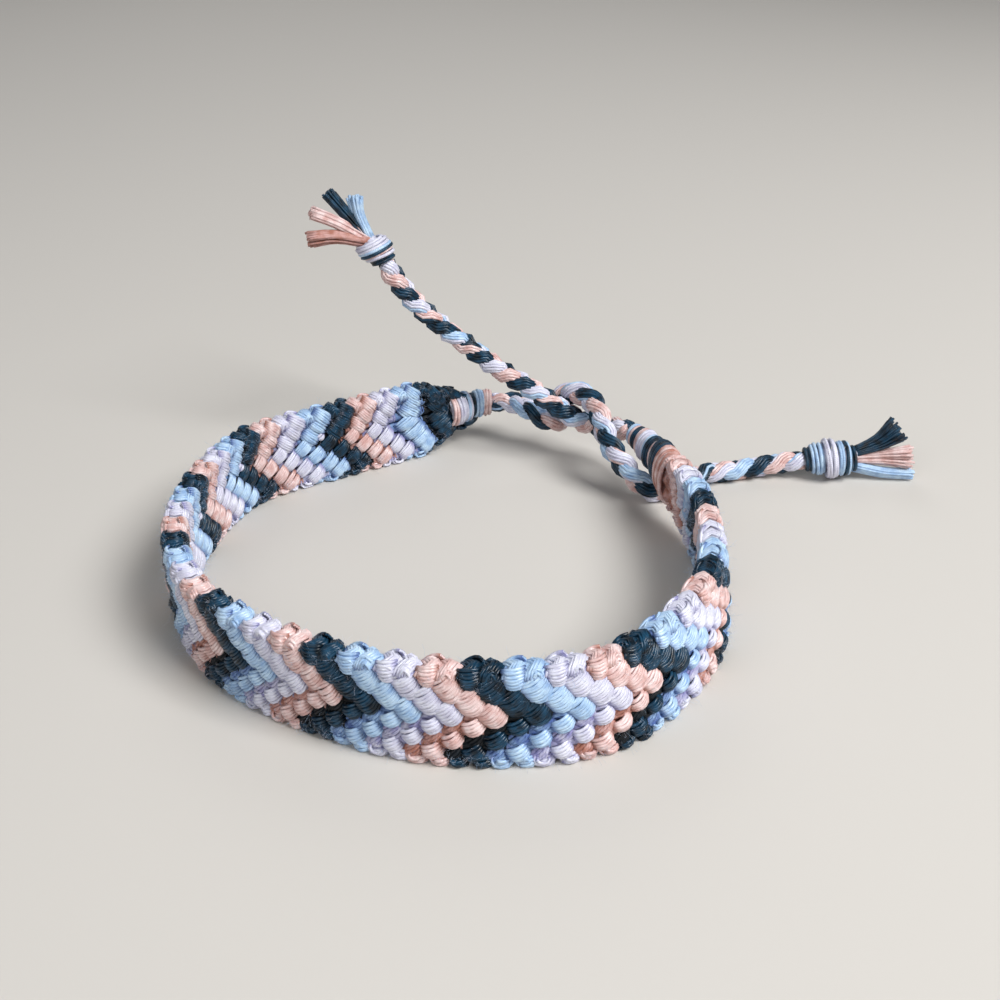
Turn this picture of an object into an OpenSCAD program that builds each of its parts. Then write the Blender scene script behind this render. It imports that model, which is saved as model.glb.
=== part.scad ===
// Knotted chevron friendship bracelet, standing on its lower edge and tied shut with its own two braids.
// Millimetres. +Z is up, the origin is under the middle of the band and its necks, on the surface.

/* [Band] */
// Width of the knotted band, which is its height as it stands
band_w = 9.8; // [8:0.1:11]
// Thickness of the band over its knots
band_t = 2.8; // [2.4:0.1:3.2]
// How far the middle of a chevron row runs ahead of its ends, in rows
lead = 1.5; // [1:0.1:2]
// Depth of the groove between two chevron rows
groove = 0.5; // [0.2:0.05:0.7]
// Depth of the dent between two knots of a row
dent = 0.3; // [0.1:0.05:0.5]
// How far the edge loops stand out in scallops
scallop = 0.3; // [0.1:0.05:0.5]
// How much the lower edge is pressed flat where it stands
press = 0.3; // [0.25:0.05:0.4]

/* [Necks] */
// Height of the left neck, where the strings are gathered before the braid
left_neck_h = 3.6; // [3:0.1:4]
// Height of the right neck at its thick end
right_neck_h = 4.8; // [4:0.1:5]
// Depth of the groove between two wraps of a neck
wrap_groove = 0.3; // [0.1:0.05:0.5]

/* [Ties] */
// Thickness of a braided tie
tie_d = 2.4; // [2:0.1:2.4]
// Thickness of the knot at the end of the left tie
left_knot_d = 5.0; // [4:0.1:5]
// Thickness of the knot at the end of the right tie
right_knot_d = 4.4; // [3.6:0.1:4.8]
// Thickness of a tassel's lock where it leaves the knot
lock_d = 1.5; // [1:0.1:1.8]

/* [Hidden] */

// Every fourth chevron row is dark. Columns: x and y of the band's middle line there, and how many
// degrees the band's top leans outwards. The first and last row only steer the curve.
dark_rows = [
    [5.9, 35.5, 0], [-3.0, 27.5, 0], [-12.7, 21.2, -1], [-22.4, 13.8, -1], [-25.9, 2.8, 0],
    [-25.4, -8.8, 1], [-20.4, -19.0, 2], [-11.1, -26.3, 0], [1.1, -30.6, -4], [14.5, -28.6, -7],
    [23.8, -16.9, -8], [25.8, -3.5, -7], [23.5, 9.4, -4], [17.8, 21.2, 0]
];
row_step = 4;
first_row = -1;
last_row = 44;
rings_per_row = 2;
// Rows over which the chevron fades in at the first end and out at the last
fade_in = 3;
fade_out = 4;
// Half of the band's width, counted in columns of knots
half_columns = 3.7;
// Grooves are shallower round the two edges, and the faces are crowned towards them
edge_groove = 0.6;
crown = 0.12;

// The band narrows at both ends. Columns: row, share of the full height, rise of the middle.
ends = [[first_row, 0.56, 0], [0.6, 1, 0], [40.6, 1, 0], [last_row, 0.56, 1.2]];

// Middle lines of the necks, ties, end knots and locks, as points on the real thing.
left_neck_line = [[0.2, 29.6, 4.7], [1.5, 30.3, 4.8], [2.8, 30.8, 4.9], [4.1, 31.0, 4.9]];
right_neck_line = [[23.5, 9.9, 5.8], [23.3, 11.8, 5.7], [22.7, 14.8, 5.4], [21.8, 17.6, 5.5],
                   [20.6, 20.1, 5.7]];
left_tie_line = [
    [4.3, 31.0, 4.9], [6.5, 30.8, 5.0], [8.8, 28.5, 5.1], [10.7, 27.1, 4.4], [12.2, 27.3, 4.0],
    [12.2, 27.9, 5.6], [12.8, 27.5, 7.2], [14.2, 26.2, 8.2], [15.6, 24.4, 8.3], [16.5, 22.2, 7.8],
    [17.0, 19.9, 6.8], [17.7, 17.4, 5.5], [19.2, 15.2, 4.0], [21.0, 14.0, 2.4], [22.8, 14.1, 1.3],
    [25.4, 15.8, 1.3], [28.8, 18.5, 1.3], [31.7, 19.2, 1.3], [35.3, 20.2, 1.4], [38.6, 20.5, 1.8],
    [40.6, 20.3, 2.2]
];
right_tie_line = [
    [20.4, 20.6, 5.8], [18.2, 23.0, 5.2], [16.2, 24.6, 4.8], [14.0, 24.8, 5.6], [11.6, 24.8, 7.3],
    [8.7, 25.6, 9.1], [5.2, 27.0, 10.8], [1.7, 28.2, 13.1], [-1.9, 28.8, 15.8], [-4.7, 29.2, 18.3],
    [-7.0, 29.6, 21.2], [-8.0, 29.8, 23.0]
];
left_knot_line = [[40.9, 20.3, 2.3], [43.6, 20.2, 2.5], [46.6, 20.2, 2.5]];
right_knot_line = [[-8.2, 29.8, 23.2], [-9.0, 30.0, 24.3], [-10.0, 30.2, 25.5]];
left_locks = [
    [[46.7, 20.7, 3.4], [49.2, 20.8, 4.2], [51.4, 21.0, 5.9]],
    [[46.7, 20.4, 2.4], [49.8, 20.4, 2.5], [53.0, 20.2, 2.6]],
    [[46.7, 19.8, 1.4], [49.8, 19.6, 1.2], [53.2, 19.4, 1.1]]
];
right_locks = [
    [[-10.3, 30.5, 26.0], [-12.4, 30.7, 28.4], [-14.3, 30.8, 30.7]],
    [[-10.5, 30.2, 26.0], [-13.4, 29.9, 27.6], [-16.2, 29.6, 28.8]],
    [[-10.8, 30.0, 25.7], [-13.5, 29.5, 26.1], [-16.5, 29.0, 25.9]],
    [[-10.2, 30.5, 26.0], [-11.0, 31.0, 28.2], [-11.3, 31.4, 30.1]]
];
tie_sides = 8;
knot_sides = 10;
knot_turns = 3;
// Depth of the grooves between an end knot's turns, as a share of its thickness
knot_groove = 0.04;

function unit(v) = v / norm(v);
function blend(a, b, c, d, t) =
    0.5 * (2 * b + (c - a) * t + (2 * a - 5 * b + 4 * c - d) * t * t
           + (3 * b - a - 3 * c + d) * t * t * t);

// A smooth line through the points, with some steps between each two of them.
function smooth(line, steps) = let (n = len(line) - 1)
    [for (i = [0 : n - 1], k = [0 : steps - 1])
        blend(i == 0 ? 2 * line[0] - line[1] : line[i - 1], line[i], line[i + 1],
              i == n - 1 ? 2 * line[n] - line[n - 1] : line[i + 2], k / steps),
     line[n]];

function directions(path) = let (n = len(path) - 1)
    [for (i = [0 : n]) unit(path[min(i + 1, n)] - path[max(i - 1, 0)])];

// Sideways directions that turn as little as they can from ring to ring.
function sideways(dirs) =
    [for (i = 0, s = unit(cross(dirs[0], [0, 0, 1])); i < len(dirs);
          i = i + 1, s = i < len(dirs) ? unit(s - (s * dirs[i]) * dirs[i]) : s) s];

// Rings round a path: radii holds one [sideways, upwards] pair for each ring.
function rings(path, radii, sides) =
    let (dirs = directions(path), side = sideways(dirs))
    [for (i = [0 : len(path) - 1]) let (up = cross(side[i], dirs[i]))
        [for (k = [0 : sides - 1]) let (a = 360 * (k + 0.5) / sides)
            path[i] + radii[i][0] * cos(a) * side[i] + radii[i][1] * sin(a) * up]];

// One closed solid through a list of rings.
module skin(rings) {
    n = len(rings[0]);
    m = len(rings);
    sides = [for (i = [0 : m - 2], k = [0 : n - 1])
        [i * n + k, i * n + (k + 1) % n, (i + 1) * n + (k + 1) % n, (i + 1) * n + k]];
    caps = [[for (k = [n - 1 : -1 : 0]) k], [for (k = [0 : n - 1]) (m - 1) * n + k]];
    polyhedron(points = [for (r = rings) each r], faces = concat(sides, caps), convexity = 8);
}

// Where the band's middle line is at a row, with the lean there.
function middle(row) = let (t = row / row_step + 1, i = floor(t))
    blend(dark_rows[i - 1 < 0 ? 0 : i - 1], dark_rows[i], dark_rows[i + 1],
          dark_rows[min(i + 2, len(dark_rows) - 1)], t - i);
function share(row) = lookup(row, [for (e = ends) [e[0], e[1]]]);
function rise(row) = lookup(row, [for (e = ends) [e[0], e[2]]]);

// The chevron fades out over the first and last rows, so that both ends are square.
function lead_at(row) = lead * min(1, (row - first_row) / fade_in, (last_row - row) / fade_out);

// Across the band: height share, thickness share, and column of knots. First the outer face going
// up, then the top edge, the inner face going down and the lower edge.
edge_round = [[0.94, 0.72, 3.5], [1, 0.36, 4], [1, -0.36, 4], [0.94, -0.72, 3.5]];
across = concat(
    [for (c = [-3 : 0.5 : 3]) [c / half_columns, 1, c]],
    edge_round,
    [for (c = [3 : -1 : -3]) [c / half_columns, -1, c]],
    -edge_round
);

function band_point(row, p) =
    let (station = row + lead_at(row) * (1 - abs(p[0])),
         m = middle(station),
         ahead = middle(station + 0.05) - middle(station - 0.05),
         out = unit([ahead[1], -ahead[0]]),
         valley = (1 - cos(360 * row)) / 2,
         edge = abs(p[2]) > 3 ? 1 : 0,
         row_groove = groove * valley * (edge == 1 ? edge_groove : 1),
         knot_dent = edge == 1 ? 0 : dent * (1 - cos(360 * p[2])) / 2,
         thick = p[1] * (band_t / 2 - row_groove - knot_dent) * (1 - crown * pow(p[0], 4)),
         loops = scallop * edge * valley * (p[0] < 0 ? 0.5 : 1),
         high = share(station) * p[0] * (band_w / 2 - loops),
         z = band_w / 2 - press + rise(station) + high * cos(m[2]) - thick * sin(m[2]))
    [m[0] + out[0] * (thick * cos(m[2]) + high * sin(m[2])),
     m[1] + out[1] * (thick * cos(m[2]) + high * sin(m[2])),
     max(0, z)];

module band() {
    count = round((last_row - first_row) * rings_per_row);
    color("lightsteelblue")
        skin([for (i = [0 : count]) let (row = first_row + (last_row - first_row) * i / count)
            [for (p = across) band_point(row, p)]]);
}

// A neck is a short stack of wraps: flat is its width as a share of its height where it starts,
// and it turns round towards its tip.
module neck(line, high, flat, wraps, tip) {
    path = smooth(line, 6);
    n = len(path) - 1;
    radii = [for (i = [0 : n])
        let (h = high / 2 + (tip - high) / 2 * i / n,
             g = wrap_groove * (1 + cos(360 * wraps * i / n)) / 2)
        [h * (flat + (1 - flat) * i / n) - g, h - g]];
    skin(rings(path, radii, knot_sides));
}

module left_neck() {
    color("mistyrose") neck(left_neck_line, left_neck_h, flat = 0.8, wraps = 3, tip = 3.2);
}

module right_neck() {
    color("slategray") neck(right_neck_line, right_neck_h, flat = 0.62, wraps = 6, tip = 2.8);
}

module tie(line) {
    path = smooth(line, 2);
    skin(rings(path, [for (p = path) [tie_d / 2, tie_d / 2]], tie_sides));
}

module left_tie() {
    color("lavender") tie(left_tie_line);
}

module right_tie() {
    color("darkslategray") tie(right_tie_line);
}

// A round knot, half as thick at its two ends, with a groove between each two of its turns.
module end_knot(line, thick) {
    path = smooth(line, 5);
    n = len(path) - 1;
    radii = [for (i = [0 : n])
        let (turns = 1 - knot_groove * (1 - cos(360 * knot_turns * i / n)),
             r = thick / 4 * (1 + sin(180 * i / n)) * turns)
        [r, r]];
    skin(rings(path, radii, knot_sides));
}

module left_end_knot() {
    color("lavender") end_knot(left_knot_line, left_knot_d);
}

module right_end_knot() {
    color("lavender") end_knot(right_knot_line, right_knot_d);
}

// Locks that open out from one head. Each gets thicker towards its tip, by this share.
module tassel(locks, spread) {
    for (line = locks) {
        path = smooth(line, 2);
        n = len(path) - 1;
        radii = [for (i = [0 : n]) let (r = lock_d / 2 * (1 + spread * i / n)) [r, r]];
        skin(rings(path, radii, tie_sides));
    }
}

module left_tassel() {
    color("peachpuff") tassel(left_locks, spread = 0.4);
}

module right_tassel() {
    color("peachpuff") tassel(right_locks, spread = 0.2);
}

band();
left_neck();
right_neck();
left_tie();
right_tie();
left_end_knot();
right_end_knot();
left_tassel();
right_tassel();
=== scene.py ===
import functools
import math
import random

import bmesh
import bpy
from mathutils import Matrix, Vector


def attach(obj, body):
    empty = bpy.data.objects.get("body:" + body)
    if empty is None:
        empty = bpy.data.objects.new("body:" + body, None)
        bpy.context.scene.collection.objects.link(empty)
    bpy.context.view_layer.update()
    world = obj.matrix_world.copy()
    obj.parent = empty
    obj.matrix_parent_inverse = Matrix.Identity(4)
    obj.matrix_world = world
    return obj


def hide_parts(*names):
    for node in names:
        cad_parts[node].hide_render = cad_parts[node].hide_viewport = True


# Knotted chevron friendship bracelet. Lengths in the tables are millimetres, which addStrand turns to
# metres, and angles are degrees. The floor and the lights alone are given in metres.
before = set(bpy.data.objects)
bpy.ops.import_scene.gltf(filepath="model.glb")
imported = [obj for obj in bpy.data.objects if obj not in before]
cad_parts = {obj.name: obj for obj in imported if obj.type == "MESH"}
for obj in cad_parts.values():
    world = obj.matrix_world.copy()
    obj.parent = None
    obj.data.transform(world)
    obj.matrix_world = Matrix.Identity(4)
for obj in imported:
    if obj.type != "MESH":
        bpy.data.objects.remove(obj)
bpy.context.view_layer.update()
random.seed(8)
mm = 0.001
scene = bpy.context.scene

# The photo's viewing angle: 28 degrees down, from in front of the band.
cameraForm = {
    "place": (5.2, -112.5, 67.5), "aim": (5.2, 14.5, 0), "lens": 45.6, "sensor": 36, "nearest": 10,
}
cameraData = bpy.data.cameras.new("camera")
cameraData.lens = cameraForm["lens"]
cameraData.sensor_width = cameraForm["sensor"]
cameraData.clip_start = cameraForm["nearest"] * mm
camera = bpy.data.objects.new("camera", cameraData)
camera.location = Vector(cameraForm["place"]) * mm
sight = (Vector(cameraForm["aim"]) - Vector(cameraForm["place"])).normalized()
camera.rotation_euler = sight.to_track_quat("-Z", "Y").to_euler()
scene.collection.objects.link(camera)
scene.camera = camera
print("camera placed")


# A hex colour as Blender's linear light
def linear(colour):
    channels = [int(colour[i:i + 2], 16) / 255 for i in (1, 3, 5)]
    return (*[c / 12.92 if c <= 0.04045 else ((c + 0.055) / 1.055) ** 2.4 for c in channels], 1)


# A random value up to a reach either way
def scatter(reach):
    return random.uniform(-reach, reach)


# Settings are values of the node's sockets or of the node itself, and links lead to its sockets.
def addNode(tree, kind, settings={}, links={}):
    node = tree.nodes.new("ShaderNode" + kind)
    for name, value in settings.items():
        if isinstance(name, int) or name in node.inputs:
            node.inputs[name].default_value = value
        else:
            setattr(node, name, value)
    for name, source in links.items():
        tree.links.new(source, node.inputs[name])
    return node


# Mercerised cotton embroidery floss: six loosely laid strands of two plies, with a silky sheen. Base and
# light are the dye's tones, and deep is painted shade. Shine is the level of the mirrored light, which
# is lower where the dye is dark.
flossColours = {
    "navy": {"base": "#08151F", "light": "#1B4560", "deep": "#020408", "shine": 0.35},
    "blue": {"base": "#97B8DD", "light": "#C4DEF4", "deep": "#48629F", "shine": 0.5},
    "white": {"base": "#CAC9DC", "light": "#E3E4F1", "deep": "#8583B4", "shine": 0.5},
    "peach": {"base": "#D0A7A2", "light": "#F1DCDB", "deep": "#A56A58", "shine": 0.5},
}
# How a strand is seen: plies along it, how dark the painted shade in their grooves is, whether its ends,
# where they dive into the band, get painted shade, and its two tones: the dye's base and lighter spots,
# or for the shaded floss of hidden turns, cores and peach in the shade, painted shade and the dye's
# base.
flossCuts = {
    "wrap": {"plies": 2, "shade": 0.1, "dives": True, "tones": ("base", "light"), "roughness": 0.3},
    "inner": {"plies": 4, "shade": 0.3, "dives": False, "tones": ("deep", "base"), "roughness": 0.6},
    "long": {"plies": 60, "shade": 0.15, "dives": False, "tones": ("base", "light"), "roughness": 0.33},
}
# Patch is the size of the dye's lighter spots, and shown is the part of a strand between its dives: its
# ends beyond get painted shade.
flossFinish = {
    "ior": 1.53, "sheen": 0.12, "sheenRoughness": 0.4, "patch": 0.9, "patchDetail": 3,
    "patchEdges": (0.35, 0.65), "shown": (0.25, 0.75), "pliesRound": 2, "plyDepth": 0.05,
    "plyBump": 0.45,
}


def cottonFloss(name, colours, cut):
    material = bpy.data.materials.new(name)
    material.use_nodes = True
    tree = material.node_tree
    shader = tree.nodes["Principled BSDF"]
    shader.inputs["Roughness"].default_value = cut["roughness"]
    shader.inputs["IOR"].default_value = flossFinish["ior"]
    shader.inputs["Specular IOR Level"].default_value = colours["shine"]
    shader.inputs["Sheen Weight"].default_value = flossFinish["sheen"]
    shader.inputs["Sheen Roughness"].default_value = flossFinish["sheenRoughness"]
    shader.inputs["Sheen Tint"].default_value = linear(colours["light"])
    place = addNode(tree, "TexCoord")
    patches = addNode(tree, "TexNoise",
                      {"Scale": 1 / (flossFinish["patch"] * mm), "Detail": flossFinish["patchDetail"]},
                      {"Vector": place.outputs["Object"]})
    tint = addNode(tree, "ValToRGB", {}, {"Fac": patches.outputs["Fac"]})
    for stop, position, tone in zip(tint.color_ramp.elements, flossFinish["patchEdges"], cut["tones"]):
        stop.position = position
        stop.color = linear(colours[tone])
    # In a Mix node of colours, socket 0 is the factor, 6 and 7 are the colours and 2 is the result.
    colour = tint.outputs["Color"]
    # Painted shade: where a strand's ends dive into the band, they darken to the deep colour.
    if cut["dives"]:
        ends = addNode(tree, "SeparateXYZ", {}, {"Vector": place.outputs["UV"]})
        shown = addNode(tree, "ValToRGB", {}, {"Fac": ends.outputs["X"]})
        stops = shown.color_ramp.elements
        for stop in stops:
            stop.color = (0, 0, 0, 1)
        for position in flossFinish["shown"]:
            stops.new(position).color = (1, 1, 1, 1)
        mixed = addNode(tree, "Mix", {"data_type": "RGBA", 6: linear(colours["deep"])},
                        {0: shown.outputs["Color"], 7: colour})
        colour = mixed.outputs[2]
    # The plies twist round the strand: the wave repeats every 2 pi / 10 of its coordinate.
    turn = math.tau / 10
    lay = addNode(tree, "Mapping",
                  {"Scale": (cut["plies"] * turn, flossFinish["pliesRound"] * turn, 0)},
                  {"Vector": place.outputs["UV"]})
    plies = addNode(tree, "TexWave", {"bands_direction": "DIAGONAL", "Scale": 1},
                    {"Vector": lay.outputs["Vector"]})
    # Painted shade in the grooves between the plies: the colour darkens towards the deep colour by up to
    # the cut's shade.
    groove = addNode(tree, "MapRange", {"To Min": cut["shade"], "To Max": 0},
                     {"Value": plies.outputs["Fac"]})
    grooved = addNode(tree, "Mix", {"data_type": "RGBA", 7: linear(colours["deep"])},
                      {0: groove.outputs["Result"], 6: colour})
    tree.links.new(grooved.outputs[2], shader.inputs["Base Color"])
    bump = addNode(tree, "Bump",
                   {"Strength": flossFinish["plyBump"], "Distance": flossFinish["plyDepth"] * mm},
                   {"Height": plies.outputs["Fac"]})
    tree.links.new(bump.outputs["Normal"], shader.inputs["Normal"])
    return material


colourNames = list(flossColours)
floss = {cut: {name: cottonFloss(name + "Floss" + cut.title(), flossColours[name], flossCuts[cut])
               for name in colourNames} for cut in flossCuts}
# The fifth material is peach with painted shade.
longFloss = list(floss["long"].values()) + [floss["inner"]["peach"]]
print("floss materials mixed")


# Yarn is the data of a curve object, and its strands are tubes with an even number of sides.
def newYarn(name, materials, sides=6):
    yarn = bpy.data.curves.new(name, "CURVE")
    yarn.dimensions = "3D"
    yarn.bevel_depth = 1
    yarn.bevel_resolution = (sides - 4) // 2
    yarn.use_fill_caps = True
    for material in materials:
        yarn.materials.append(material)
    return yarn


# Taper is the share of its thickness that a strand loses by each end.
def addStrand(yarn, points, thick, slot=0, taper=0, closed=False):
    spline = yarn.splines.new("POLY")
    spline.points.add(len(points) - 1)
    spline.use_smooth = True
    spline.use_cyclic_u = closed
    spline.material_index = slot
    for i, point in enumerate(points):
        t = 2 * i / (len(points) - 1) - 1
        spline.points[i].co = (*(point * mm), 1)
        spline.points[i].radius = thick / 2 * (1 - taper * t ** 4) * mm


# Blender leaves a tube's caps loose, and this reach welds them on.
weldReach = 0.002


def makePiece(name, yarn, slot, *nodes):
    holder = bpy.data.objects.new(name + "Yarn", yarn)
    scene.collection.objects.link(holder)
    graph = bpy.context.evaluated_depsgraph_get()
    mesh = bpy.data.meshes.new_from_object(holder.evaluated_get(graph))
    bpy.data.objects.remove(holder)
    shape = bmesh.new()
    shape.from_mesh(mesh)
    bmesh.ops.remove_doubles(shape, verts=shape.verts, dist=weldReach * mm)
    shape.to_mesh(mesh)
    shape.free()
    piece = bpy.data.objects.new(name, mesh)
    scene.collection.objects.link(piece)
    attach(piece, "root")
    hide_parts(*nodes)
    triangles = sum(len(face.vertices) - 2 for face in mesh.polygons)
    print(name, "made,", triangles, "triangles")
    return piece


# A point of the smooth curve from b to c, for t from 0 to 1. The curve comes from a and goes on to d.
def glide(a, b, c, d, t):
    return 0.5 * (2 * b + (c - a) * t + (2 * a - 5 * b + 4 * c - d) * t * t
                  + (3 * b - a - 3 * c + d) * t ** 3)


def smoothLine(points, steps):
    points = [Vector(p) for p in points]
    around = [2 * points[0] - points[1], *points, 2 * points[-1] - points[-2]]
    line = [glide(*around[i:i + 4], k / steps) for i in range(len(points) - 1) for k in range(steps)]
    return line + [points[-1]]


# Place, direction, side and up at each point of a line, carried along it without a twist
def framesAlong(line):
    frames = []
    side = None
    for i, place in enumerate(line):
        along = (line[min(i + 1, len(line) - 1)] - line[max(i - 1, 0)]).normalized()
        side = along.cross(Vector((0, 0, 1))) if side is None else side - side.dot(along) * along
        side.normalize()
        frames.append((place, along, side.copy(), side.cross(along)))
    return frames


def lengthsAlong(line):
    lengths = [0]
    for a, b in zip(line, line[1:]):
        lengths.append(lengths[-1] + (b - a).length)
    return lengths


# The two ties are three-strand braids. Each route is the middle line of the braid, and each lock's
# letters are the colours of its strands.
tieForms = {
    "leftTie": {
        "node": "left_tie", "slot": "white_cotton", "length": 54, "stiffness": "medium",
        "start": 0.3, "period": 7.4, "locks": ["nnnnnnnnnnnb", "wwwwwwbbbbbb", "ppppppppwwww"],
        "route": [
            (4.3, 31.0, 4.9), (6.5, 30.8, 5.0), (8.8, 28.5, 5.1), (10.7, 27.1, 4.4), (12.2, 27.3, 4.0),
            (12.2, 27.9, 5.6), (12.8, 27.5, 7.2), (14.2, 26.2, 8.2), (15.6, 24.4, 8.3),
            (16.5, 22.2, 7.8), (17.0, 19.9, 6.8), (17.7, 17.4, 5.5), (19.2, 15.2, 4.0),
            (21.0, 14.0, 2.4), (22.8, 14.1, 1.3), (25.4, 15.8, 1.3), (28.8, 18.5, 1.3),
            (31.7, 19.2, 1.3), (35.3, 20.2, 1.4), (38.6, 20.5, 1.8), (40.6, 20.3, 2.2)],
    },
    "rightTie": {
        "node": "right_tie", "slot": "navy_cotton", "length": 37, "stiffness": "stiff",
        "start": 0, "period": 5.8, "locks": ["nnnnnnnnnnnn", "wwwwwwwwbbbb", "pppppppppnnn"],
        "route": [
            (20.4, 20.6, 5.8), (18.2, 23.0, 5.2), (16.2, 24.6, 4.8), (14.0, 24.8, 5.6),
            (11.6, 24.8, 7.3), (8.7, 25.6, 9.1), (5.2, 27.0, 10.8), (1.7, 28.2, 13.1),
            (-1.9, 28.8, 15.8), (-4.7, 29.2, 18.3), (-7.0, 29.6, 21.2), (-8.0, 29.8, 23.0)],
    },
}
# A lock is a bundle of strands twisted round a core, with twist in turns for each millimetre. It
# swings wide and deep about the route, less over the last stretch before each end.
braidForm = {
    "thick": 2.4, "steps": 6, "wide": 0.58, "deep": 0.42, "endShare": 0.5, "endStretch": 2,
    "core": 1.1, "lowestCore": 0.6, "bundle": 0.65, "strand": 0.37, "lowestStrand": 0.2, "twist": 0.06,
}
# The letters' slots in longFloss: navy, blue, white, peach, and peach in the shade
slotOf = {"n": 0, "b": 1, "w": 2, "p": 3, "s": 4}


def layBraid(yarn, form):
    frames = framesAlong(smoothLine(form["route"], braidForm["steps"]))
    lengths = lengthsAlong([place for place, along, side, up in frames])
    for number, colours in enumerate(form["locks"]):
        middleLine = []
        for (place, along, side, up), length in zip(frames, lengths):
            angle = math.tau * (length / form["period"] + number / 3 + form["start"])
            fromEnd = min(length, lengths[-1] - length)
            ease = min(1, braidForm["endShare"] + fromEnd / braidForm["endStretch"])
            point = (place + side * math.sin(angle) * braidForm["wide"] * ease
                     + up * math.sin(2 * angle) * braidForm["deep"] * ease)
            point.z = max(point.z, braidForm["lowestCore"])
            middleLine.append(point)
        lockFrames = framesAlong(middleLine)
        addStrand(yarn, middleLine, braidForm["core"], slotOf[colours[0]])
        for k, letter in enumerate(colours):
            points = []
            for (place, along, side, up), length in zip(lockFrames, lengths):
                turn = math.tau * (k / len(colours) + braidForm["twist"] * length)
                point = place + (side * math.cos(turn) + up * math.sin(turn)) * braidForm["bundle"]
                point.z = max(point.z, braidForm["lowestStrand"])
                points.append(point)
            addStrand(yarn, points, braidForm["strand"], slotOf[letter])


for name, form in tieForms.items():
    braid = newYarn(name, longFloss)
    layBraid(braid, form)
    makePiece(name, braid, form["slot"], form["node"])


# Yarn wound round a line. Each wrap is its strands' colours, its half width and its half height, and
# its outer strands are sunk deeper than its middle ones. Each core inside lies at a share of the room
# above or below the line.
windForm = {
    "lineSteps": 12, "wrapSteps": 20, "sunk": 0.18, "round": 0.25, "slack": (-0.03, 0.05), "lean": 0.05,
}


def windYarn(yarn, form):
    line = smoothLine(form["line"], windForm["lineSteps"])
    lengths = lengthsAlong(line)
    frames = framesAlong(line)
    strands = []
    for letters, wide, high in form["wraps"]:
        for k, letter in enumerate(letters):
            strands.append((letter, 2 * (k + 0.5) / len(letters) - 1, wide, high))
    tilt = math.tan(math.radians(form["tilt"]))
    for share in form["cores"]:
        points = []
        for (place, along, side, up), length in zip(frames, lengths):
            nearest = min(len(strands) - 1, int(len(strands) * length / lengths[-1]))
            letter, q, wide, high = strands[nearest]
            room = high - form["core"] / 2 - form["strand"]
            points.append(place + up * share * max(0, room))
        addStrand(yarn, points, form["core"], slotOf[form["coreColour"]])
    for n, (letter, q, wide, high) in enumerate(strands):
        reach = lengths[-1] * (n + 0.5) / len(strands)
        place, along, side, up = frames[sum(length < reach for length in lengths) - 1]
        shrink = windForm["sunk"] + windForm["round"] * q * q + random.uniform(*windForm["slack"])
        lean = tilt + scatter(windForm["lean"])
        start = random.uniform(0, math.tau)
        points = []
        for i in range(windForm["wrapSteps"]):
            turn = start + math.tau * i / windForm["wrapSteps"]
            across = math.cos(turn) * (wide - shrink)
            above = math.sin(turn) * (high - shrink)
            points.append(place + along * above * lean + side * across + up * above)
        addStrand(yarn, points, form["strand"], slotOf[letter], closed=True)


neckForms = {
    "leftNeck": {
        "node": "left_neck", "slot": "peach_cotton", "core": 1.9, "coreColour": "w", "tilt": 4,
        "cores": (-1, 0, 1), "strand": 0.42,
        "line": [(-1.0, 28.7, 4.7), (1.0, 30.0, 4.8), (2.8, 30.8, 4.9), (4.1, 31.0, 4.9)],
        "wraps": [("ppwww", 1.95, 2.1), ("wbw", 1.8, 1.95), ("nn", 1.3, 1.6), ("bbb", 1.45, 1.85),
                  ("ppp", 1.4, 1.8)],
    },
    "rightNeck": {
        "node": "right_neck", "slot": "navy_cotton", "core": 1.9, "coreColour": "s", "tilt": -5,
        "cores": (-1, 0, 1), "strand": 0.46,
        "line": [(23.6, 8.5, 5.6), (23.3, 11.8, 5.7), (22.7, 14.8, 5.4), (21.8, 17.6, 5.5),
                 (20.6, 20.1, 5.7)],
        "wraps": [("psp", 1.6, 3.3), ("psps", 1.7, 3), ("nnnnn", 1.65, 2.75), ("bpp", 1.3, 2.1),
                  ("nnnb", 1.4, 2.2), ("wwwpp", 1.4, 2.0), ("nn", 1.2, 1.6), ("pb", 1.2, 1.5)],
    },
}
for name, form in neckForms.items():
    neck = newYarn(name, longFloss)
    windYarn(neck, form)
    makePiece(name, neck, form["slot"], form["node"])

knotForms = {
    "leftEndKnot": {
        "node": "left_end_knot", "slot": "white_cotton", "tie": "leftTie", "core": 2.2, "cores": (0,),
        "coreColour": "w", "tilt": -6, "strand": 0.42,
        "line": [(40.9, 20.3, 2.3), (43.6, 20.2, 2.5), (46.6, 20.2, 2.5)],
        "wraps": [("nn", 1.5, 1.5), ("bbbb", 1.95, 1.9), ("wwww", 2.5, 2.4), ("bbnb", 2.2, 2.1),
                  ("nn", 1.6, 1.6)],
    },
    "rightEndKnot": {
        "node": "right_end_knot", "slot": "white_cotton", "tie": "rightTie", "core": 2.0, "cores": (0,),
        "coreColour": "w", "tilt": -14, "strand": 0.4,
        "line": [(-8.2, 29.8, 23.2), (-9.0, 30.0, 24.3), (-10.0, 30.2, 25.5)],
        "wraps": [("nn", 1.6, 1.55), ("wp", 1.9, 1.85), ("nb", 2.15, 2.05), ("ww", 2.05, 2),
                  ("w", 1.7, 1.65)],
    },
}
endPieces = {}
for name, form in knotForms.items():
    endKnot = newYarn(name, longFloss)
    windYarn(endKnot, form)
    endPieces[form["tie"]] = [makePiece(name, endKnot, form["slot"], form["node"])]

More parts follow.
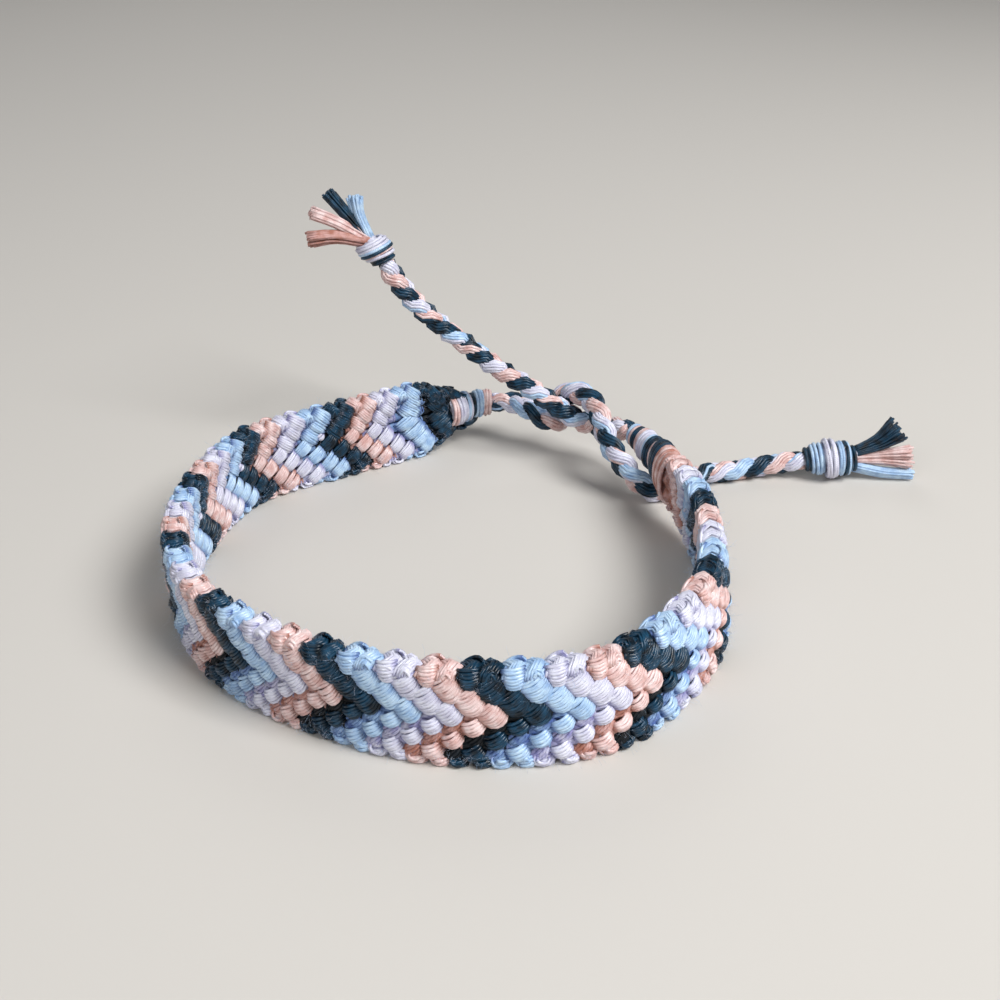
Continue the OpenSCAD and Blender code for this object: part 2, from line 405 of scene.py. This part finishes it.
# Tassels: each lock is its strands' colour, its radius at the cut end and its middle line.
tasselForms = {
    "leftTassel": {
        "node": "left_tassel", "slot": "peach_cotton", "tie": "leftTie",
        "locks": [("n", 1.7, [(46.2, 20.6, 3.0), (49.2, 20.8, 4.2), (51.4, 21.0, 5.9)]),
                  ("p", 1.55, [(46.2, 20.3, 2.4), (49.8, 20.4, 2.5), (53.0, 20.2, 2.6)]),
                  ("b", 0.5, [(46.2, 19.9, 1.7), (49.8, 19.6, 1.0), (53.2, 19.4, 0.9)])],
    },
    "rightTassel": {
        "node": "right_tassel", "slot": "peach_cotton", "tie": "rightTie",
        "locks": [("n", 0.7, [(-9.8, 30.4, 25.4), (-12.4, 30.7, 28.4), (-14.3, 30.8, 30.7)]),
                  ("p", 0.7, [(-9.8, 30.2, 25.4), (-13.4, 29.9, 27.6), (-16.2, 29.6, 28.8)]),
                  ("s", 0.9, [(-9.9, 30.0, 25.3), (-13.5, 29.5, 26.1), (-16.5, 29.0, 25.9)]),
                  ("b", 1.0, [(-9.7, 30.4, 25.4), (-11.0, 31.0, 28.2), (-11.3, 31.4, 30.1)])],
    },
}
# Strands start within the root's radius, flare out to the lock's own, and are cut to uneven lengths.
tuft = {
    "strands": 60, "thick": 0.28, "steps": 3, "root": 0.6, "flare": 1.5, "cut": (-0.4, 0.3),
    "stray": 0.12, "lowest": 0.15,
}
for name, form in tasselForms.items():
    tassel = newYarn(name, longFloss)
    for letter, spread, lock in form["locks"]:
        frames = framesAlong(smoothLine(lock, tuft["steps"]))
        for k in range(tuft["strands"]):
            turn = random.uniform(0, math.tau)
            out = math.sqrt(random.uniform(0, 1))
            cut = random.uniform(*tuft["cut"])
            drift = Vector([scatter(tuft["stray"]) for axis in range(3)])
            points = []
            for i, (place, along, side, up) in enumerate(frames):
                t = i / (len(frames) - 1)
                reach = tuft["root"] + (spread - tuft["root"]) * t ** tuft["flare"]
                point = (place + (side * math.cos(turn) + up * math.sin(turn)) * out * reach
                         + drift * t * t + along * cut * t)
                point.z = max(point.z, tuft["lowest"])
                points.append(point)
            addStrand(tassel, points, tuft["thick"], slotOf[letter])
    endPieces[form["tie"]].append(makePiece(name, tassel, form["slot"], form["node"]))

# The band stands on its lower edge, pressed a little flat. A row's middle is ahead of its edges by the
# lead, in rows, which fades in and out at the band's two ends.
bandForm = {
    "width": 9.8, "press": 0.3, "lowest": 0.17, "crown": 0.12, "halfColumns": 3.7, "edgeColumn": 3,
    "firstRow": -1, "lastRow": 44, "lead": 1.5, "fadeIn": 3, "fadeOut": 4, "rowStep": 4,
    "slopeStep": 0.05,
    # x, y of the middle line at every fourth row from row -4 on, and the band's lean outwards
    "darkRows": [
        (5.9, 35.5, 0), (-3.0, 27.5, 0), (-12.7, 21.2, -1), (-22.4, 13.8, -1), (-25.9, 2.8, 0),
        (-25.4, -8.8, 1), (-20.4, -19.0, 2), (-11.1, -26.3, 0), (1.1, -30.6, -4),
        (14.5, -28.6, -7), (23.8, -16.9, -8), (25.8, -3.5, -7), (23.5, 9.4, -4), (17.8, 21.2, 0)],
    # How far the rows have drifted on from their even places: row, rows
    "drift": [(-1, 0), (12, 0), (20, 0.3), (25, 0.42), (29, 0.42), (32, 0.35), (40, 0.1), (44, 0)],
    # row, share of the full height, rise of the middle
    "ends": [(-1, 0.56, 0), (0.6, 1, 0), (40.6, 1, 0), (44, 0.56, 1.2)],
}


@functools.lru_cache(maxsize=None)
def middleAt(row):
    table = bandForm["darkRows"]
    t = row / bandForm["rowStep"] + 1
    i = max(0, min(len(table) - 2, math.floor(t)))
    four = [Vector(table[max(0, min(len(table) - 1, n))]) for n in range(i - 1, i + 3)]
    return glide(*four, t - i)


# A column's value at a row, between the rows of a table that starts each line with its row
def lookUp(rows, row, column=1):
    if row <= rows[0][0]:
        return rows[0][column]
    for a, b in zip(rows, rows[1:]):
        if row <= b[0]:
            return a[column] + (b[column] - a[column]) * (row - a[0]) / (b[0] - a[0])
    return rows[-1][column]


# A place on the band, high over its middle line and deep out of its middle plane
def onBand(row, high, deep):
    here = middleAt(row)
    ahead = middleAt(row + bandForm["slopeStep"]) - middleAt(row - bandForm["slopeStep"])
    out = Vector((ahead.y, -ahead.x, 0)).normalized()
    lean = math.radians(here.z)
    high = high * lookUp(bandForm["ends"], row)
    deep = deep * (1 - bandForm["crown"] * (2 * high / bandForm["width"]) ** 4)
    level = bandForm["width"] / 2 - bandForm["press"] + lookUp(bandForm["ends"], row, column=2)
    flat = deep * math.cos(lean) + high * math.sin(lean)
    return Vector((here.x + out.x * flat, here.y + out.y * flat,
                   max(bandForm["lowest"], level + high * math.cos(lean) - deep * math.sin(lean))))


def leadAt(row):
    return bandForm["lead"] * min(1, (row - bandForm["firstRow"]) / bandForm["fadeIn"],
                                  (bandForm["lastRow"] - row) / bandForm["fadeOut"])


# Where along the band, in rows, a row's knot in a column lies
def stationOf(row, column):
    edge = bandForm["edgeColumn"]
    return row + lookUp(bandForm["drift"], row) + leadAt(row) * (edge - abs(column)) / edge


# The length of one row at a station
def pitchAt(station):
    return (middleAt(station + 0.5) - middleAt(station - 0.5)).to_2d().length


# The edges' yarn narrows towards the band's two ends, half as much as the band does.
def narrowed(half, row):
    return half * (0.5 + lookUp(bandForm["ends"], row) / 2)


def colourOf(row):
    return "navy" if row < 0 else colourNames[row % len(colourNames)]


# How each knot's strands lie on the outer face: column counted up from the middle, shift in rows,
# rise, lean and bend in degrees, length, width, top over the middle plane, dive of the ends, and
# whether it is a hidden first turn. The inner face's knots follow, and in layKnot the outer face is 1
# and the inner one -1.
frontForms = [
    (3, 0.1, -0.15, 5, 20, 1.8, 1.7, 1.4, 0.5, 0),
    (2, 0.1, 0.15, 34, 40, 2.5, 2.2, 1.42, 0.5, 0),
    (1, 0.1, 0.4, 34, 40, 2.5, 2.2, 1.44, 0.5, 0),
    (0, 0.1, 0.6, 38, 35, 2.3, 2, 1.46, 0.6, 0),
    (0, -0.3, 0.6, 20, 30, 1.6, 1.5, 1, 0.3, 1),
    (-1, 0.2, 0.65, 26, 20, 2, 1.1, 1.48, 0.75, 0),
    (-1, -0.25, 0.65, 45, 20, 1.9, 1.5, 1.02, 0.3, 1),
    (-2, 0.2, 0.7, 26, 20, 2, 1.1, 1.46, 0.75, 0),
    (-2, -0.25, 0.7, 45, 20, 1.9, 1.5, 1, 0.3, 1),
    (-3, 0.2, 0.8, 24, 20, 1.9, 1.15, 1.42, 0.7, 0),
    (-3, -0.25, 0.4, 42, 20, 1.6, 1.5, 0.98, 0.3, 1),
    (-3, 0.4, -0.25, 14, 0, 1.5, 0.95, 1.2, 0.5, 0),
    (-3, -0.15, -0.25, 14, 0, 1.5, 0.95, 1.1, 0.5, 0),
]
backForms = [
    (3, 0.12, -0.15, 38, 0, 2.6, 1.35, 1.45, 0.45, 0),
    (2, -0.2, 0.2, 38, 0, 2.6, 1.35, 1.45, 0.45, 0),
    (1, -0.4, 0.45, 38, 0, 2.6, 1.35, 1.45, 0.45, 0),
    (0, -0.6, 0.6, -38, 0, 2.6, 1.35, 1.45, 0.45, 0),
    (-1, -0.6, 0.65, -38, 0, 2.6, 1.35, 1.45, 0.45, 0),
    (-2, -0.6, 0.7, -38, 0, 2.6, 1.35, 1.45, 0.45, 0),
    (-3, -0.55, 0.8, -38, 0, 2.6, 1.35, 1.45, 0.45, 0),
]
# The white strand that shows where a dark row turns on the inner face
dotForm = (0, -0.3, 1.6, -40, 0, 0.9, 0.6, 1.55, 0.4, 0)
# The forms are drawn for rows of one pitch, and stretch with the real rows within limits. A knot's
# strands narrow towards their ends, which dive deeper ahead than behind.
knotYarn = {
    "pitch": 3.4, "stretch": (0.7, 1.5), "strand": 0.33, "taper": 0.3, "gap": 0.28, "fewest": 3,
    "steps": 7, "round": 0.2, "narrow": 0.3, "ahead": 1.2, "behind": 0.8, "divePower": 2.5,
    "jitter": 0.045, "stray": 0.05, "tilt": 4, "lengths": (0.94, 1.06),
}
columnStep = bandForm["width"] / 2 / bandForm["halfColumns"]
# Each colour's floss that shows, slot 0, and its floss with painted shade for hidden turns and cores,
# slot 1
bandYarn = {name: newYarn("band" + name.title(), [floss["wrap"][name], floss["inner"][name]])
            for name in colourNames}


def layKnot(yarn, row, form, face):
    column, shift, rise, lean, bend, length, width, top, dive, hidden = form
    station = stationOf(row, column) + shift
    pitch = pitchAt(station)
    least, most = knotYarn["stretch"]
    stretch = stationOf(row + 1, column) - stationOf(row, column)
    stretch = max(least, min(most, stretch)) * pitch / knotYarn["pitch"]
    lean = math.radians(lean + scatter(knotYarn["tilt"]))
    bend = math.radians(bend)
    length = length * random.uniform(*knotYarn["lengths"])
    top = top + scatter(knotYarn["stray"])
    offset = scatter(knotYarn["stray"])
    strands = max(knotYarn["fewest"], round(width / knotYarn["gap"]) + 1)
    for k in range(strands):
        q = 2 * k / (strands - 1) - 1
        wobble = scatter(knotYarn["jitter"])
        lift = scatter(knotYarn["jitter"])
        points = []
        for i in range(knotYarn["steps"]):
            t = 2 * i / (knotYarn["steps"] - 1) - 1
            curl = bend / 2 * (t * t - 1 / 3)  # a bend about its own mean
            aside = q * width / 2 * (1 - knotYarn["narrow"] * t * t) + offset + wobble * (1 - t)
            ahead = length / 2 * (t * math.cos(lean) - curl * math.sin(lean)) - aside * math.sin(lean)
            up = length / 2 * (t * math.sin(lean) + curl * math.cos(lean)) + aside * math.cos(lean)
            fall = dive * (knotYarn["ahead"] if t > 0 else knotYarn["behind"])
            deep = (top + lift - knotYarn["strand"] / 2 - knotYarn["round"] * q * q
                    - fall * abs(t) ** knotYarn["divePower"])
            points.append(onBand(station + ahead * stretch / pitch, column * columnStep + rise + up,
                                 face * deep))
        # A hidden first turn takes slot 1, the floss with painted shade.
        addStrand(yarn, points, knotYarn["strand"], slot=hidden, taper=knotYarn["taper"])


# Lobes of yarn laid over the top edge from face to face: shift in rows, half width, foot and top over
# the band's middle. Their strands reach down both faces, and a vee puts their middle ahead of their
# ends.
lobeForms = [(0.12, 0.66, 3.85, 4.76), (0.57, 0.68, 3.75, 4.8)]
lobeYarn = {
    "gap": 0.24, "strand": 0.31, "steps": 9, "reach": 118, "deep": 1.12, "waist": 0.1, "round": 0.4,
    "slack": 0.08, "swing": 0.1, "vee": 0.8, "veePower": 1.3,
}


def layLobe(yarn, row, form):
    shift, half, foot, top = form
    station = stationOf(row, bandForm["edgeColumn"]) + shift
    pitch = pitchAt(station)
    half = narrowed(half, row)
    strands = round(2 * half / lobeYarn["gap"]) + 1
    swing = scatter(lobeYarn["swing"])
    for k in range(strands):
        q = 2 * k / (strands - 1) - 1
        sag = lobeYarn["round"] * q * q + random.uniform(0, lobeYarn["slack"])
        wobble = scatter(knotYarn["jitter"])
        points = []
        for i in range(lobeYarn["steps"]):
            turn = math.radians(lobeYarn["reach"] * (2 * i / (lobeYarn["steps"] - 1) - 1))
            across = math.sin(turn)
            deep = across * lobeYarn["deep"] * (1 - lobeYarn["waist"] * q * q)
            high = foot + (top - sag - foot) * math.cos(turn)
            vee = lobeYarn["vee"] * (0.5 - abs(across) ** lobeYarn["veePower"])
            ahead = q * half + wobble + swing * across + vee
            points.append(onBand(station + ahead / pitch, high, deep))
        addStrand(yarn, points, lobeYarn["strand"], taper=knotYarn["taper"])


# Arches of yarn along the top edge, 1, and the lower edge, -1: shift in rows, half width, foot and top
# from the band's middle. At the top edge the middle share of their strands is skipped, because the
# lobes lie there.
archForms = {
    1: [(0.12, 0.76, 3.9, 4.74), (0.57, 0.78, 3.4, 4.78)],
    -1: [(-0.2, 1.1, 3.85, 4.76), (0.35, 0.85, 3.95, 4.76)],
}
archYarn = {
    "strands": 13, "strand": 0.3, "steps": 7, "start": -25, "sweep": 230, "skipped": 0.6,
    "inward": {1: 0.3, -1: 0.9}, "inwardPower": 1.5, "inwardNarrow": 0.7, "round": 0.38, "waist": 0.5,
    "swing": 0.12, "depth": 1.14, "footDepth": 0.75, "swell": 0.5,
}


def layArch(yarn, row, form, edge):
    shift, half, foot, top = form
    station = stationOf(row, bandForm["edgeColumn"]) + shift
    pitch = pitchAt(station)
    half = narrowed(half, row)
    swing = scatter(archYarn["swing"])
    for k in range(archYarn["strands"]):
        q = 2 * k / (archYarn["strands"] - 1) - 1
        if edge == 1 and abs(q) < archYarn["skipped"]:
            continue
        inward = archYarn["inward"][edge] * random.uniform(0, 1) ** archYarn["inwardPower"]
        lower = archYarn["round"] * q ** 4 + inward
        narrow = half - archYarn["inwardNarrow"] * inward
        wobble = scatter(knotYarn["jitter"]) + swing * q
        points = []
        for i in range(archYarn["steps"]):
            turn = math.radians(archYarn["start"] + archYarn["sweep"] * i / (archYarn["steps"] - 1))
            high = foot + (top - lower - foot) * math.sin(turn)
            ahead = wobble - narrow * (1 - archYarn["waist"] * q ** 4) * math.cos(turn)
            swell = archYarn["swell"] * max(0, math.sin(turn))
            deep = q * archYarn["depth"] * min(1, archYarn["footDepth"] + swell)
            points.append(onBand(station + ahead / pitch, edge * high, deep))
        addStrand(yarn, points, archYarn["strand"], taper=knotYarn["taper"])


# Thick cores fill the band between its two faces, one behind each knot of each face.
coreYarn = {
    "strand": 1.2, "deep": 0.2, "edgeShare": 0.93, "overlap": 0.05, "shortest": 0.2,
    "frontShift": -0.12, "places": (0, 0.33, 0.67, 1),
}


def layCore(yarn, row, column, shift, face):
    middle = stationOf(row, column)
    start = (stationOf(row - 1, column) + middle) / 2 + shift - coreYarn["overlap"]
    end = (middle + stationOf(row + 1, column)) / 2 + shift + coreYarn["overlap"]
    start = max(bandForm["firstRow"] - coreYarn["overlap"], start)
    end = min(bandForm["lastRow"], end)
    high = column * columnStep
    if abs(column) == bandForm["edgeColumn"]:
        high = high * coreYarn["edgeShare"]
    points = [onBand(start + (end - start) * t, high, face * coreYarn["deep"])
              for t in coreYarn["places"]]
    # Cores take slot 1, the floss with painted shade.
    if end - start > coreYarn["shortest"]:
        addStrand(yarn, points, coreYarn["strand"], slot=1)


# The row before row 0 is dark too, and has no middle knots, because the neck starts there. Past the
# last row of knots come its cores alone.
for row in range(bandForm["firstRow"], bandForm["lastRow"] + 1):
    yarn = bandYarn[colourOf(min(row, bandForm["lastRow"] - 1))]
    for form in backForms:
        column, shift = form[:2]
        layCore(yarn, row, column, coreYarn["frontShift"], 1)
        layCore(yarn, row, column, shift, -1)
    if row == bandForm["lastRow"]:
        break
    for form in frontForms:
        column = form[0]
        if row >= 0 or abs(column) > 1:
            layKnot(yarn, row, form, 1)
    for form in backForms:
        column = form[0]
        if row >= 0 or abs(column) > 1:
            layKnot(yarn, row, form, -1)
        if column == 0 and row > 0 and colourOf(row) == "navy":
            layKnot(bandYarn["white"], row, dotForm, -1)
    for form in lobeForms:
        layLobe(yarn, row, form)
    for edge, forms in archForms.items():
        for form in forms:
            layArch(yarn, row, form, edge)
for name in colourNames:
    makePiece("band" + name.title(), bandYarn[name], name + "_cotton", "band")

# Fine loose fibres that stand off the band, most of them near its two edges. Their roots lie within
# its faces, or anywhere across its edges, and they bend as they grow.
fuzzForm = {
    "fibres": 9300, "thick": 0.011, "length": (0.3, 1.05), "colours": ["white", "blue"],
    "ends": 0.5, "highest": 4.6, "crowd": 0.3, "faceHigh": 4, "faceDeep": 1.3, "edgeDeep": 1.2,
    "root": 0.1, "tipHigh": 1.03, "tipDeep": 0.2, "droop": 0.5, "stray": 0.7, "lowest": 0.05,
    "places": (0, 0.5, 1),
}
fuzz = newYarn("fuzz", [floss["long"][name] for name in colourNames], sides=4)
for n in range(fuzzForm["fibres"]):
    row = random.uniform(bandForm["firstRow"] + fuzzForm["ends"], bandForm["lastRow"] - fuzzForm["ends"])
    high = random.choice([-1, 1]) * fuzzForm["highest"] * random.uniform(0, 1) ** fuzzForm["crowd"]
    face = random.choice([-1, 1])
    deep = fuzzForm["faceDeep"]
    if abs(high) >= fuzzForm["faceHigh"]:
        deep = random.uniform(0, fuzzForm["edgeDeep"])
    root = onBand(row, high, face * (deep - fuzzForm["root"]))
    tip = onBand(row, high * fuzzForm["tipHigh"], face * (deep + fuzzForm["tipDeep"]))
    out = (tip - root).normalized()
    drift = Vector([scatter(fuzzForm["stray"]) for axis in range(3)])
    reach = random.uniform(*fuzzForm["length"])
    points = [root + out * reach * t * (1 - fuzzForm["droop"] * t) + drift * reach * t * t
              for t in fuzzForm["places"]]
    for point in points:
        point.z = max(point.z, fuzzForm["lowest"])
    fibre = random.choice(fuzzForm["colours"])
    addStrand(fuzz, points, fuzzForm["thick"], colourNames.index(fibre))
makePiece("fuzz", fuzz, "white_cotton", "band")

# Plain pale floor, plain soft studio light.
stageForm = {"size": 4, "floor": "#CCC8C2", "roughness": 0.8, "air": "#D8DCE2", "airStrength": 0.13}
floorShape = bmesh.new()
bmesh.ops.create_grid(floorShape, x_segments=1, y_segments=1, size=stageForm["size"] / 2)
floorMesh = bpy.data.meshes.new("floor")
floorShape.to_mesh(floorMesh)
floorShape.free()
floor = bpy.data.objects.new("floor", floorMesh)
scene.collection.objects.link(floor)
paint = bpy.data.materials.new("mattPaint")
paint.use_nodes = True
coat = paint.node_tree.nodes["Principled BSDF"]
coat.inputs["Base Color"].default_value = linear(stageForm["floor"])
coat.inputs["Roughness"].default_value = stageForm["roughness"]
floorMesh.materials.append(paint)

# Places and sizes in metres, power in watts
lightForms = {
    "key": {"place": (0.36, -0.24, 0.5), "size": 0.34, "power": 5.3},
    "fill": {"place": (-0.3, -0.5, 0.4), "size": 0.5, "power": 1.25},
    "back": {"place": (-0.1, 0.6, 0.45), "size": 0.4, "power": 0.9},
}
for name, form in lightForms.items():
    lamp = bpy.data.lights.new(name, "AREA")
    lamp.size = form["size"]
    lamp.energy = form["power"]
    light = bpy.data.objects.new(name, lamp)
    light.location = form["place"]
    light.rotation_euler = (-Vector(form["place"])).to_track_quat("-Z", "Y").to_euler()
    scene.collection.objects.link(light)
world = bpy.data.worlds.new("room")
world.use_nodes = True
air = world.node_tree.nodes["Background"]
air.inputs["Color"].default_value = linear(stageForm["air"])
air.inputs["Strength"].default_value = stageForm["airStrength"]
scene.world = world
scene.view_settings.view_transform = "Standard"
print("stage lit")
